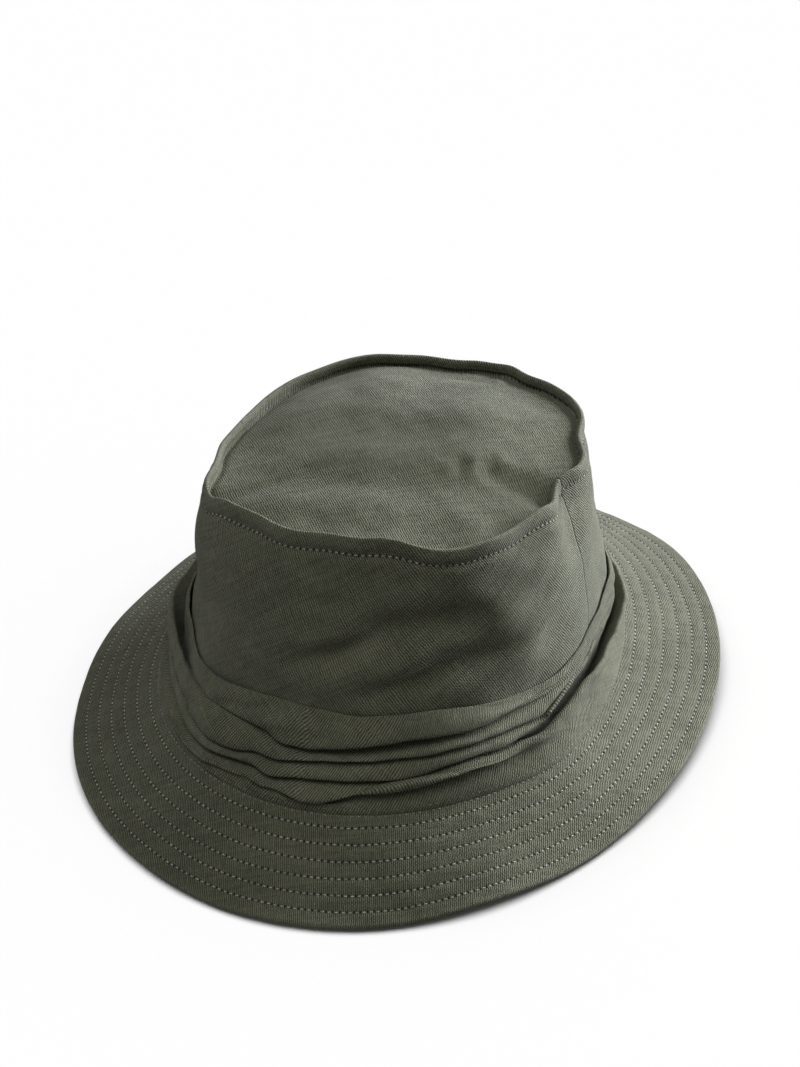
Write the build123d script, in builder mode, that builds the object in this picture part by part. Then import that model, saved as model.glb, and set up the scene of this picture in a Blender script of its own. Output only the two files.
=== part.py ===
"""Soft twill bucket hat, lying on its brim as it is stored on a shelf.

The frame is in millimetres: +Z up, +Y towards the back of the head, -Y over the forehead.
The origin is on the surface that the brim rests on, under the middle of the crown.
Every ring of the hat is an oval, longer front to back than side to side.
"""

import os

from build123d import *

os.makedirs("parts", exist_ok=True)

# ---- Head oval and brim -------------------------------------------------------------
seam_half_width = 84.0      # crown and brim seam, centre to side
seam_half_length = 106.0    # crown and brim seam, centre to forehead
seam_height = 22.0          # top of the brim at that seam, above the shelf
brim_run_side = 32.0        # brim, measured level, at the side
brim_run_front = 36.0       # brim, measured level, at the forehead and the nape
brim_edge_height = 2.0      # top of the brim at its free edge
cloth = 1.0                 # one ply of twill, measured upright on the brim
interlining = 0.6           # stiffener between the two brim plies

# ---- Crown ---------------------------------------------------------------------------
crown_height = 108.0        # free top edge of the rim
crown_foot_height = 40.0    # lower edge of the crown panels, inside the folded band
foot_half_width = 73.0      # crown panels at that lower edge
foot_half_length = 91.0
rim_half_width = 65.0       # crown panels at the free top edge
rim_half_length = 75.0
tip_recess = 8.0            # the tip is sewn this far below the rim's free edge
tip_dome = 3.0              # rise of the tip from its seam to its middle
lining = 0.6                # lining cloth
lining_ease = 0.5           # air between crown cloth and lining

# ---- Folded band and sweatband -------------------------------------------------------
band_top_height = 50.0      # highest fold, round the foot of the crown
band_bulge = 4.0            # how far the folds stand out at mid height
band_wall_top = 4.0         # thickness of the folded cloth at its top
band_wall_foot = 2.0        # thickness of the band where it meets the brim
sweatband_height = 22.0     # how far the sweatband stands up inside the crown
sweatband_cloth = 1.2

# ---- Stitching -----------------------------------------------------------------------
brim_row_count = 6
brim_row_first = 0.13       # first row, as a share of the way from the seam to the edge
brim_row_last = 0.875       # last row
thread = 0.5                # how far a thread stands proud of the cloth
stitch_width = 0.9
edge_stitch_gap = 1.6       # from a seam to the edge stitching beside it
seam_stitch_offset = 2.5    # from a side seam to its topstitching
rim_stitch_drop = 8.0       # topstitching below the rim's free edge
tip_stitch_inset = 1.5

# ---- Fits ------------------------------------------------------------------------------
slide_clearance = 0.5       # between the crown, which rises, and the band and sweatband

brim_thickness = 2 * cloth + interlining
seam_oval = (seam_half_width, seam_half_length)
brim_drop = seam_height - brim_edge_height
foot_oval = (foot_half_width, foot_half_length)
rim_oval = (rim_half_width, rim_half_length)
far = 2 * (seam_half_length + brim_run_front)


def grown(oval, amount):
    """An oval that is larger all round by an amount, or smaller when it is negative."""
    return (oval[0] + amount, oval[1] + amount)


def brim_oval(share):
    """The brim's oval at a share of the way out: 0 at the seam and 1 at the free edge."""
    return (
        seam_half_width + share * brim_run_side,
        seam_half_length + share * brim_run_front,
    )


def crown_oval(height):
    """The oval of the crown panels' outer face at a height."""
    share = (height - crown_foot_height) / (crown_height - crown_foot_height)
    return (
        foot_half_width + share * (rim_half_width - foot_half_width),
        foot_half_length + share * (rim_half_length - foot_half_length),
    )


def stack(*sections, mode=Mode.ADD):
    """A solid with straight sides through ovals, each given as (oval, height)."""
    faces = []
    for oval, height in sections:
        with BuildSketch(Plane.XY.offset(height)) as section:
            Ellipse(oval[0], oval[1])
        faces.append(section.sketch.face())
    loft(faces, ruled=True, mode=mode)


def tube(outer, inner, low, high, mode=Mode.ADD):
    """An upright ring between two ovals, from one height to another."""
    with BuildSketch(Plane.XY.offset(low)) as section:
        Ellipse(outer[0], outer[1])
        Ellipse(inner[0], inner[1], mode=Mode.SUBTRACT)
    extrude(section.sketch, amount=high - low, mode=mode)


def brim_slope(lift, mode=Mode.ADD):
    """Everything under the brim's slope, raised by lift and run on past both of its ends."""
    over = 0.2
    stack(
        (brim_oval(1 + over), brim_edge_height - over * brim_drop + lift),
        (brim_oval(-over), seam_height + over * brim_drop + lift),
        mode=mode,
    )


def brim_ring(top, bottom, start, end):
    """A ply or a thread that follows the brim's slope, between two shares of the way out."""
    brim_slope(top)
    brim_slope(bottom, mode=Mode.SUBTRACT)
    tube(brim_oval(end), brim_oval(start), -far, far, mode=Mode.INTERSECT)
    with Locations((0, 0, -far / 2)):
        Box(2 * far, 2 * far, far, mode=Mode.SUBTRACT)


def crown_shell(outside, inside, low, high):
    """A wall that follows the crown's side, between two offsets from its outer face."""
    stack((grown(crown_oval(low), outside), low), (grown(crown_oval(high), outside), high))
    stack(
        (grown(crown_oval(low), inside), low),
        (grown(crown_oval(high), inside), high),
        mode=Mode.SUBTRACT,
    )


def save(part, name):
    """Labels a finished piece and writes it as one STEP file."""
    part.label = name
    export_step(part, f"parts/{name}.step")


# ---- Brim: upper ply, interlining, under ply ---------------------------------------
with BuildPart() as brim_upper:
    brim_ring(0, -cloth, 0, 1)
save(brim_upper.part, "brim_upper")

with BuildPart() as brim_interlining:
    brim_ring(-cloth, -cloth - interlining, 0, 1)
save(brim_interlining.part, "brim_interlining")

with BuildPart() as brim_under:
    brim_ring(-cloth - interlining, -brim_thickness, 0, 1)
save(brim_under.part, "brim_under")

# ---- Brim: rows of stitching, each with its thread above and below the cloth -------
brim_run = (brim_run_side + brim_run_front) / 2
half_stitch = stitch_width / brim_run / 2
row_step = (brim_row_last - brim_row_first) / (brim_row_count - 1)
for row in range(brim_row_count):
    place = brim_row_first + row * row_step
    with BuildPart() as needle_thread:
        brim_ring(thread, 0, place - half_stitch, place + half_stitch)
    with BuildPart() as bobbin_thread:
        brim_ring(
            -brim_thickness,
            -brim_thickness - thread,
            place - half_stitch,
            place + half_stitch,
        )
    with BuildPart() as brim_stitch_row:
        add(needle_thread.part)
        add(bobbin_thread.part)
    save(brim_stitch_row.part, f"brim_stitch_row_{row + 1}")

with BuildPart() as brim_edge_stitch:
    edge_share = edge_stitch_gap / brim_run
    brim_ring(thread, 0, edge_share, edge_share + 2 * half_stitch)
save(brim_edge_stitch.part, "brim_edge_stitch")

# ---- Folded band round the foot of the crown ---------------------------------------
band_neck = crown_oval(band_top_height)
band_bore = grown(
    (max(foot_half_width, band_neck[0]), max(foot_half_length, band_neck[1])),
    slide_clearance,
)
band_top = grown(band_bore, band_wall_top)
band_mid_height = (seam_height + band_top_height) / 2
band_middle = tuple(
    (low + high) / 2 + band_bulge for low, high in zip(seam_oval, band_top)
)
with BuildPart() as draped_band:
    stack((seam_oval, seam_height), (band_middle, band_mid_height), (band_top, band_top_height))
    stack(
        (grown(seam_oval, -band_wall_foot), seam_height),
        (band_bore, crown_foot_height - slide_clearance),
        (band_bore, band_top_height),
        mode=Mode.SUBTRACT,
    )
save(draped_band.part, "draped_band")

with BuildPart() as band_edge_stitch:
    for offset, mode in ((thread, Mode.ADD), (0, Mode.SUBTRACT)):
        stack(
            (grown(seam_oval, offset), seam_height),
            (grown(band_middle, offset), band_mid_height),
            mode=mode,
        )
    tube(
        (far, far),
        (1, 1),
        seam_height + edge_stitch_gap,
        seam_height + edge_stitch_gap + stitch_width,
        mode=Mode.INTERSECT,
    )
save(band_edge_stitch.part, "band_edge_stitch")

# ---- Sweatband, sewn in at the seam and leaning into the crown ---------------------
sweatband_foot = grown(seam_oval, -band_wall_foot)
lining_bore = grown(foot_oval, -cloth - lining_ease - lining - slide_clearance)
sweatband_top_height = seam_height + sweatband_height
sweatband_top = grown(
    crown_oval(sweatband_top_height),
    -cloth - lining_ease - lining - 2 * slide_clearance,
)
with BuildPart() as sweatband:
    stack(
        (sweatband_foot, seam_height),
        (lining_bore, crown_foot_height - slide_clearance),
        (sweatband_top, sweatband_top_height),
    )
    stack(
        (grown(sweatband_foot, -sweatband_cloth), seam_height),
        (grown(lining_bore, -sweatband_cloth), crown_foot_height - slide_clearance),
        (grown(sweatband_top, -sweatband_cloth), sweatband_top_height),
        mode=Mode.SUBTRACT,
    )
save(sweatband.part, "sweatband")

with BuildPart() as sweatband_stitch:
    tube(
        grown(sweatband_foot, -sweatband_cloth),
        grown(sweatband_foot, -sweatband_cloth - thread),
        seam_height,
        seam_height + stitch_width,
    )
    stack(
        (grown(sweatband_foot, -sweatband_cloth), seam_height),
        (grown(lining_bore, -sweatband_cloth), crown_foot_height - slide_clearance),
        mode=Mode.INTERSECT,
    )
save(sweatband_stitch.part, "sweatband_stitch")

# ---- Crown: front and back panels, joined at the two side seams --------------------
for name, side in (("crown_front", -1), ("crown_back", 1)):
    with BuildPart() as crown_panel:
        crown_shell(0, -cloth, crown_foot_height, crown_height)
        with Locations((0, side * far / 2, 0)):
            Box(2 * far, far, 2 * far, mode=Mode.INTERSECT)
    save(crown_panel.part, name)

for name, side in (("seam_stitch_left", -1), ("seam_stitch_right", 1)):
    with BuildPart() as seam_stitch:
        crown_shell(thread, 0, band_top_height, crown_height - rim_stitch_drop - stitch_width)
        with Locations((side * far / 2, -seam_stitch_offset, 0)):
            Box(far, stitch_width, 2 * far, mode=Mode.INTERSECT)
    save(seam_stitch.part, name)

with BuildPart() as rim_stitch:
    crown_shell(
        thread, 0, crown_height - rim_stitch_drop - stitch_width, crown_height - rim_stitch_drop
    )
save(rim_stitch.part, "rim_stitch")

# ---- Tip: an oval sewn inside the rim, with its border turned up against the panels --
tip_height = crown_height - tip_recess
tip_seam = grown(crown_oval(tip_height), -cloth)
tip_crest = (tip_seam[0] / 2, tip_seam[1] / 2)
with BuildPart() as tip_oval:
    stack((tip_seam, tip_height), (tip_crest, tip_height + tip_dome))
    stack(
        (tip_seam, tip_height - cloth), (tip_crest, tip_height + tip_dome - cloth), mode=Mode.SUBTRACT
    )
with BuildPart() as crown_tip:
    crown_shell(-cloth, -2 * cloth, tip_height - cloth, crown_height)
    add(tip_oval.part)
save(crown_tip.part, "crown_tip")

with BuildPart() as tip_stitch:
    tip_step = tip_stitch_inset + 2 * cloth
    tip_rise = tip_dome / (tip_seam[0] - tip_crest[0])
    tube(
        grown(tip_seam, -tip_step),
        grown(tip_seam, -tip_step - stitch_width),
        tip_height,
        tip_height + tip_rise * (tip_step + stitch_width) + thread,
    )
    stack((tip_seam, tip_height), (tip_crest, tip_height + tip_dome), mode=Mode.SUBTRACT)
save(tip_stitch.part, "tip_stitch")

# ---- Lining --------------------------------------------------------------------------
lining_outside = -cloth - lining_ease
tip_lining_height = tip_height - cloth - lining_ease
with BuildPart() as side_lining:
    crown_shell(lining_outside, lining_outside - lining, crown_foot_height, tip_lining_height)
save(side_lining.part, "side_lining")

with BuildPart() as tip_lining:
    with BuildSketch(Plane.XY.offset(tip_lining_height - lining)):
        tip_lining_oval = grown(crown_oval(tip_lining_height), lining_outside - lining)
        Ellipse(tip_lining_oval[0], tip_lining_oval[1])
    extrude(amount=lining)
save(tip_lining.part, "tip_lining")
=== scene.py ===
"""The looks of a soft twill bucket hat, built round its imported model.

Every form is worked out in millimetres in the hat's own frame: +Z up, -Y over the forehead, the floor at
z = 0. A turn is the angle round the crown, in degrees from +X towards +Y, so the forehead is at -90. Meshes
are written in metres.
"""

import logging
import math
from dataclasses import dataclass, field
from enum import Enum
from typing import Callable

import bmesh
import bpy
import numpy as np
from mathutils import Matrix, Vector


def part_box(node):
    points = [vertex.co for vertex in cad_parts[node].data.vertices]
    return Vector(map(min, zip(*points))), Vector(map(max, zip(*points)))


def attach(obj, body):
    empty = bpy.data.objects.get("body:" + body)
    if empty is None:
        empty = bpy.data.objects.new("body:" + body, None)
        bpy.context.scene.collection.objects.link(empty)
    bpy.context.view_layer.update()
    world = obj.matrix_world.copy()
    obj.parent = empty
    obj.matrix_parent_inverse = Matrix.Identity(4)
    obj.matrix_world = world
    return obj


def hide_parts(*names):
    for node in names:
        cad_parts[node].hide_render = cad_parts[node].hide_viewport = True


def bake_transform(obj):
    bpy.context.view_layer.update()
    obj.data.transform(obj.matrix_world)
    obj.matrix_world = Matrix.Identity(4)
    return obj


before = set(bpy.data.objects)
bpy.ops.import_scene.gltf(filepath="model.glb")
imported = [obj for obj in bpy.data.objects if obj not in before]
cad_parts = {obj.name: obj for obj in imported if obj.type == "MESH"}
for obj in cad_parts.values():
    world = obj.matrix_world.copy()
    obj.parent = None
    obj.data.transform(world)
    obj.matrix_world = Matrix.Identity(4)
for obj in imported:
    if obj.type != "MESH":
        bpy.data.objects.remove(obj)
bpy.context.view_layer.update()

MM = 0.001
BRIM_BODY, CROWN_BODY = "brim", "crown"
log = logging.getLogger("bucket_hat")
Array = np.ndarray
Surface = Callable[[Array, Array], Array]


# ---- Measures and forms --------------------------------------------------------------
class Facing(Enum):
    """The side that a sheet's right side looks to."""

    UP = "up"
    DOWN = "down"
    OUT = "out"
    IN = "in"


class Cut(Enum):
    """How a sheet was cut from the flat cloth, which sets how its weave runs."""

    ROLLED = "a strip, wrapped round"
    FAN = "a curved strip, like an unrolled cone"
    FLAT = "a flat oval"


def ease(value: Array, low: float, high: float) -> Array:
    """A smooth step from 0 at low to 1 at high."""
    share = np.clip((value - low) / (high - low), 0.0, 1.0)
    return share * share * (3.0 - 2.0 * share)


def swell(turn: Array, centre: float, width: float) -> Array:
    """A smooth bump round the crown.

    Args:
        turn: Angles in degrees.
        centre: Where the bump is highest, in degrees.
        width: How far from its centre it has fallen to about a third, in degrees.

    Returns:
        1 at the centre, falling to 0 on both sides.
    """
    away = (turn - centre + 180.0) % 360.0 - 180.0
    return np.exp(-((away / width) ** 2))


def swells(turn: Array, *bumps: tuple[float, float, float]) -> Array:
    """Several bumps added up, each given by its height, its centre and its width."""
    return sum(height * swell(turn, centre, width) for height, centre, width in bumps)


@dataclass(frozen=True)
class Oval:
    """An oval round the middle of the hat."""

    half_width: float
    half_length: float

    @classmethod
    def of(cls, node: str) -> "Oval":
        """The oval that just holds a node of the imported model."""
        low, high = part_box(node)
        return cls((high.x - low.x) / 2 / MM, (high.y - low.y) / 2 / MM)

    def grown(self, amount: float) -> "Oval":
        """The oval, larger all round by an amount."""
        return Oval(self.half_width + amount, self.half_length + amount)


def on_ovals(inner: Oval, outer: Oval, share: Array, turn: Array, out: Array, height: Array) -> Array:
    """Points on the ovals between two others.

    Args:
        inner: The oval at share 0.
        outer: The oval at share 1.
        share: How far each point's oval is from inner towards outer.
        turn: Each point's angle, in degrees.
        out: How far each point stands outside its oval.
        height: Each point's height.

    Returns:
        The points, one to a row.
    """
    angle = np.radians(turn)
    across = inner.half_width + share * (outer.half_width - inner.half_width) + out
    along = inner.half_length + share * (outer.half_length - inner.half_length) + out
    return np.stack([across * np.cos(angle), along * np.sin(angle), height + 0 * angle], axis=-1)


@dataclass(frozen=True)
class Ripple:
    """Soft irregular waves in the cloth, the same on every run.

    Attributes:
        seed: Picks the waves.
        length: Typical distance between two crests.
        height: Typical rise.
        stretch: Scales x, y and z before the waves are laid, so under 1 lengthens them.
    """

    seed: int
    length: float
    height: float
    stretch: tuple[float, float, float] = (1.0, 1.0, 1.0)
    count: int = 14

    def at(self, points: Array) -> Array:
        """The rise at each point."""
        draw = np.random.default_rng(self.seed)
        total = np.zeros(points.shape[:-1])
        scaled = points * np.array(self.stretch)
        for _ in range(self.count):
            way = draw.normal(size=3)
            way /= np.linalg.norm(way)
            wave = self.length * draw.uniform(0.7, 1.5)
            total += np.cos(2 * np.pi * (scaled @ way) / wave + draw.uniform(0, 2 * np.pi))
        return self.height * total / math.sqrt(self.count / 2)


@dataclass(frozen=True)
class Dent:
    """A soft push in the cloth, round one spot."""

    turn: float
    height: float
    wide: float
    tall: float
    depth: float
    slant: float = 0.0

    def at(self, turn: Array, height: Array) -> Array:
        """How far in each place is pushed; slant moves the spot round as it rises, in degrees per mm."""
        spot = swell(turn - self.slant * (height - self.height), self.turn, self.wide)
        return self.depth * spot * np.exp(-(((height - self.height) / self.tall) ** 2))


@dataclass(frozen=True)
class Hollow:
    """A soft hollow in the tip: its middle, its half sizes, the heading of its long way and its depth."""

    x: float
    y: float
    long: float
    wide: float
    heading: float
    depth: float

    def at(self, points: Array) -> Array:
        """How deep each point lies in it."""
        angle = math.radians(self.heading)
        east, north = points[..., 0] - self.x, points[..., 1] - self.y
        along = east * math.cos(angle) + north * math.sin(angle)
        across = north * math.cos(angle) - east * math.sin(angle)
        return self.depth * np.exp(-((along / self.long) ** 2) - (across / self.wide) ** 2)


def normals_of(surface: Surface, turn: Array, share: Array) -> Array:
    """The unit normals of a surface at some places on it.

    They look out where its shares run up, and down where its shares run out.
    """
    around = surface(turn + 0.2, share) - surface(turn - 0.2, share)
    across = surface(turn, share + 0.002) - surface(turn, share - 0.002)
    normal = np.cross(around, across)
    normal /= np.linalg.norm(normal, axis=-1, keepdims=True)
    return normal


@dataclass
class Sheet:
    """A sheet of cloth laid over a surface, before it becomes an object.

    Attributes:
        name: The piece's name.
        surface: Gives the points in mm for a turn in degrees and a share across the sheet.
        rows: How many faces across.
        columns: How many faces round.
        start, end: The turns that the sheet runs between.
        facing: Where its right side looks.
        cut: How it was cut from the cloth.
        thickness: Of the cloth, in mm.
        fan_share: How far round its flat pattern a curved strip goes, for one turn of the hat.
        needle_rows: Gives, for a turn and share, the stitch count along the nearest row and the mm to it.
        wear: Gives how rubbed the cloth is, from 0 to 1.
    """

    name: str
    surface: Surface
    rows: int
    columns: int
    facing: Facing
    cut: Cut = Cut.ROLLED
    thickness: float = 0.8
    start: float = -180.0
    end: float = 180.0
    fan_share: float = 0.88
    needle_rows: Callable[[Array, Array, Array], tuple[Array, Array]] | None = None
    wear: Callable[[Array, Array], Array] | None = None

    def _weave(self, net: Array, turn: Array) -> Array:
        """Where each point of the net was on the flat cloth, in metres."""
        if self.cut is Cut.FLAT:
            return net[..., :2] * MM
        along = np.linalg.norm(np.diff(net, axis=0), axis=-1)
        across = np.concatenate([np.zeros((1, net.shape[1])), np.cumsum(along, axis=0)])
        if self.cut is Cut.FAN:
            inner = np.linalg.norm(net[0, :, :2], axis=-1).mean() / self.fan_share
            angle = np.radians(turn) * self.fan_share
            reach = inner + across
            return np.stack([reach * np.cos(angle), reach * np.sin(angle)], axis=-1) * MM
        middle = net[net.shape[0] // 2]
        steps = np.linalg.norm(np.diff(middle, axis=0), axis=-1)
        around = np.concatenate([[0.0], np.cumsum(steps)])
        return np.stack([np.broadcast_to(around, across.shape), across], axis=-1) * MM

    def make(self) -> bpy.types.Object:
        """Builds the sheet as an object with its weave and needle-row maps and its thickness."""
        grid = bmesh.new()
        bmesh.ops.create_grid(grid, x_segments=self.columns, y_segments=self.rows, size=0.5)
        mesh = bpy.data.meshes.new(self.name)
        grid.to_mesh(mesh)
        grid.free()
        flat = np.zeros(len(mesh.vertices) * 3)
        mesh.vertices.foreach_get("co", flat)
        flat = flat.reshape(-1, 3)
        low, span = flat.min(0), np.ptp(flat, axis=0)
        column = np.rint((flat[:, 0] - low[0]) / span[0] * self.columns).astype(int)
        row = np.rint((flat[:, 1] - low[1]) / span[1] * self.rows).astype(int)
        turns = np.linspace(self.start, self.end, self.columns + 1)
        shares = np.linspace(0.0, 1.0, self.rows + 1)
        turn, share = np.meshgrid(turns, shares)
        net = self.surface(turn, share)
        mesh.vertices.foreach_set("co", (net[row, column] * MM).ravel())
        corner = np.zeros(len(mesh.loops), dtype=np.int32)
        mesh.loops.foreach_get("vertex_index", corner)
        weave = mesh.uv_layers.new(name="weave")
        weave.data.foreach_set("uv", self._weave(net, turn)[row, column][corner].ravel())
        if self.needle_rows is not None:
            count, gap = self.needle_rows(turn, share, net)
            holes = mesh.uv_layers.new(name="needle")
            pair = np.stack([count, gap], axis=-1)
            holes.data.foreach_set("uv", pair[row, column][corner].ravel())
        rubbed = self.wear(turn, share) if self.wear is not None else 0.0 * turn
        mark = mesh.attributes.new("wear", "FLOAT", "POINT")
        mark.data.foreach_set("value", rubbed[row, column].astype(np.float32))
        self._close(mesh)
        piece = bpy.data.objects.new(self.name, mesh)
        bpy.context.scene.collection.objects.link(piece)
        if self.thickness > 0:
            ply = piece.modifiers.new("ply", "SOLIDIFY")
            ply.thickness = self.thickness * MM
            ply.offset = -1.0
        return piece

    def _close(self, mesh: bpy.types.Mesh) -> None:
        """Joins the sheet's meeting edges and turns its faces the right way."""
        cloth = bmesh.new()
        cloth.from_mesh(mesh)
        bmesh.ops.remove_doubles(cloth, verts=cloth.verts, dist=0.01 * MM)
        lean = 0.0
        for face in cloth.faces:
            normal = face.normal
            place = face.calc_center_median()
            if self.facing in (Facing.UP, Facing.DOWN):
                lean += normal.z * face.calc_area()
            else:
                lean += (normal.x * place.x + normal.y * place.y) * face.calc_area()
        wanted = 1.0 if self.facing in (Facing.UP, Facing.OUT) else -1.0
        if lean * wanted < 0:
            bmesh.ops.reverse_faces(cloth, faces=cloth.faces)
        for face in cloth.faces:
            face.smooth = True
        cloth.to_mesh(mesh)
        cloth.free()


@dataclass(frozen=True)
class Stitching:
    """One row of lockstitch: how long and thick its stitches are, in mm."""

    pitch: float = 2.35
    length: float = 1.35
    width: float = 0.58
    height: float = 0.5
    sink: float = 0.02
    seed: int = 5

    def count(self, line: Array) -> int:
        """How many stitches a line takes."""
        return max(3, round(np.linalg.norm(np.diff(line, axis=0), axis=-1).sum() / self.pitch))

    def sew(self, shape: bmesh.types.BMesh, line: Array, normal: Array) -> None:
        """Sews stitches along a line.

        Args:
            shape: The mesh that the stitches join.
            line: Points along the row, in mm.
            normal: The cloth's normal at each of them.
        """
        steps = np.linalg.norm(np.diff(line, axis=0), axis=-1)
        along = np.concatenate([[0.0], np.cumsum(steps)])
        total = self.count(line)
        draw = np.random.default_rng(self.seed)
        stitch = self._one()
        for index in range(total):
            middle = (index + 0.5) * along[-1] / total
            ends = [middle - self.length / 2, middle + self.length / 2]
            tail, head = ([np.interp(end, along, line[:, k]) for k in range(3)] for end in ends)
            out = Vector([np.interp(middle, along, normal[:, k]) for k in range(3)]).normalized()
            ahead = (Vector(head) - Vector(tail)).normalized()
            side = out.cross(ahead).normalized()
            out = ahead.cross(side)
            centre = (Vector(head) + Vector(tail)) / 2 - out * self.sink
            size = draw.uniform(0.92, 1.06, 3) * (self.length, self.width, self.height)
            turned = Matrix((ahead * size[0], side * size[1], out * size[2])).transposed().to_4x4()
            placed = stitch.copy()
            placed.transform(Matrix.Translation(centre * MM) @ Matrix.Scale(MM, 4) @ turned)
            shape.from_mesh(placed)
            bpy.data.meshes.remove(placed)
        bpy.data.meshes.remove(stitch)

    @staticmethod
    def _one() -> bpy.types.Mesh:
        """One stitch, 1 across each way."""
        ball = bmesh.new()
        bmesh.ops.create_uvsphere(ball, u_segments=6, v_segments=4, radius=0.5)
        mesh = bpy.data.meshes.new("stitch")
        ball.to_mesh(mesh)
        ball.free()
        return mesh


def finish_stitches(name: str, shape: bmesh.types.BMesh) -> bpy.types.Object:
    """Turns sewn stitches into one object."""
    bmesh.ops.recalc_face_normals(shape, faces=shape.faces)
    for face in shape.faces:
        face.smooth = True
    mesh = bpy.data.meshes.new(name)
    shape.to_mesh(mesh)
    shape.free()
    piece = bpy.data.objects.new(name, mesh)
    bpy.context.scene.collection.objects.link(piece)
    return piece


def sew_on(
    name: str, rows: list[tuple[Surface, Array, Array, float]], stitching: Stitching
) -> bpy.types.Object:
    """Sews rows on surfaces.

    Args:
        name: The piece's name.
        rows: For each row its surface, its turns, its shares, and 1 or -1 for the side it lies on.
        stitching: The stitches.

    Returns:
        All the rows' stitches, as one object.
    """
    shape = bmesh.new()
    for surface, turns, shares, side in rows:
        line = surface(turns, shares)
        stitching.sew(shape, line, side * normals_of(surface, turns, shares))
    return finish_stitches(name, shape)


# ---- Finishes --------------------------------------------------------------------------
class Desk:
    """Adds nodes to one node tree and joins them."""

    def __init__(self, tree: bpy.types.NodeTree) -> None:
        """Starts on an empty tree."""
        self.tree = tree

    def node(self, kind: str, **settings: object) -> bpy.types.Node:
        """A new node with some of its settings."""
        made = self.tree.nodes.new(kind)
        for name, value in settings.items():
            setattr(made, name, value)
        return made

    def feed(self, socket: bpy.types.NodeSocket, value: object) -> None:
        """Joins a socket to another one, or sets it to a plain value."""
        if isinstance(value, bpy.types.NodeSocket):
            self.tree.links.new(value, socket)
        else:
            socket.default_value = value

    def math(self, operation: str, *values: object) -> bpy.types.NodeSocket:
        """The result of a Math node."""
        made = self.node("ShaderNodeMath", operation=operation)
        for socket, value in zip(made.inputs, values):
            self.feed(socket, value)
        return made.outputs[0]

    def wave(self, phase: bpy.types.NodeSocket) -> bpy.types.NodeSocket:
        """A cosine from 0 to 1 that repeats at each whole number of its phase."""
        turned = self.math("MULTIPLY", phase, 2 * math.pi)
        return self.math("MULTIPLY_ADD", self.math("COSINE", turned), 0.5, 0.5)

    def noise(
        self, vector: object, scale: object, detail: float = 3.0, rough: float = 0.5
    ) -> bpy.types.NodeSocket:
        """The value of a Noise Texture."""
        made = self.node("ShaderNodeTexNoise")
        self.feed(made.inputs["Vector"], vector)
        self.feed(made.inputs["Scale"], scale)
        made.inputs["Detail"].default_value = detail
        made.inputs["Roughness"].default_value = rough
        return made.outputs["Fac"]

    def range(self, value: object, *ends: float) -> bpy.types.NodeSocket:
        """A value moved smoothly to a new range; the ends are low, high, new low and new high."""
        made = self.node("ShaderNodeMapRange", interpolation_type="SMOOTHSTEP")
        for socket, number in zip(made.inputs[:5], (value, *ends)):
            self.feed(socket, number)
        return made.outputs[0]

    def mix(self, share: object, first: object, second: object, blend: str = "MIX") -> bpy.types.NodeSocket:
        """The result of mixing two colours."""
        made = self.node("ShaderNodeMix", data_type="RGBA", blend_type=blend)
        self.feed(made.inputs[0], share)
        self.feed(made.inputs[6], first)
        self.feed(made.inputs[7], second)
        return made.outputs[2]


def new_group(
    name: str, inputs: dict[str, str], outputs: dict[str, str]
) -> tuple[bpy.types.NodeTree, Desk, bpy.types.Node, bpy.types.Node]:
    """An empty shader node group with its sockets.

    Args:
        name: The group's name.
        inputs: Socket names and types that go in.
        outputs: Socket names and types that come out.

    Returns:
        The group, a desk on it, and its input and output nodes.
    """
    group = bpy.data.node_groups.new(name, "ShaderNodeTree")
    for socket, kind in inputs.items():
        group.interface.new_socket(socket, in_out="INPUT", socket_type=kind)
    for socket, kind in outputs.items():
        group.interface.new_socket(socket, in_out="OUTPUT", socket_type=kind)
    desk = Desk(group)
    return group, desk, desk.node("NodeGroupInput"), desk.node("NodeGroupOutput")


FLOAT, VECTOR = "NodeSocketFloat", "NodeSocketVector"


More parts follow.
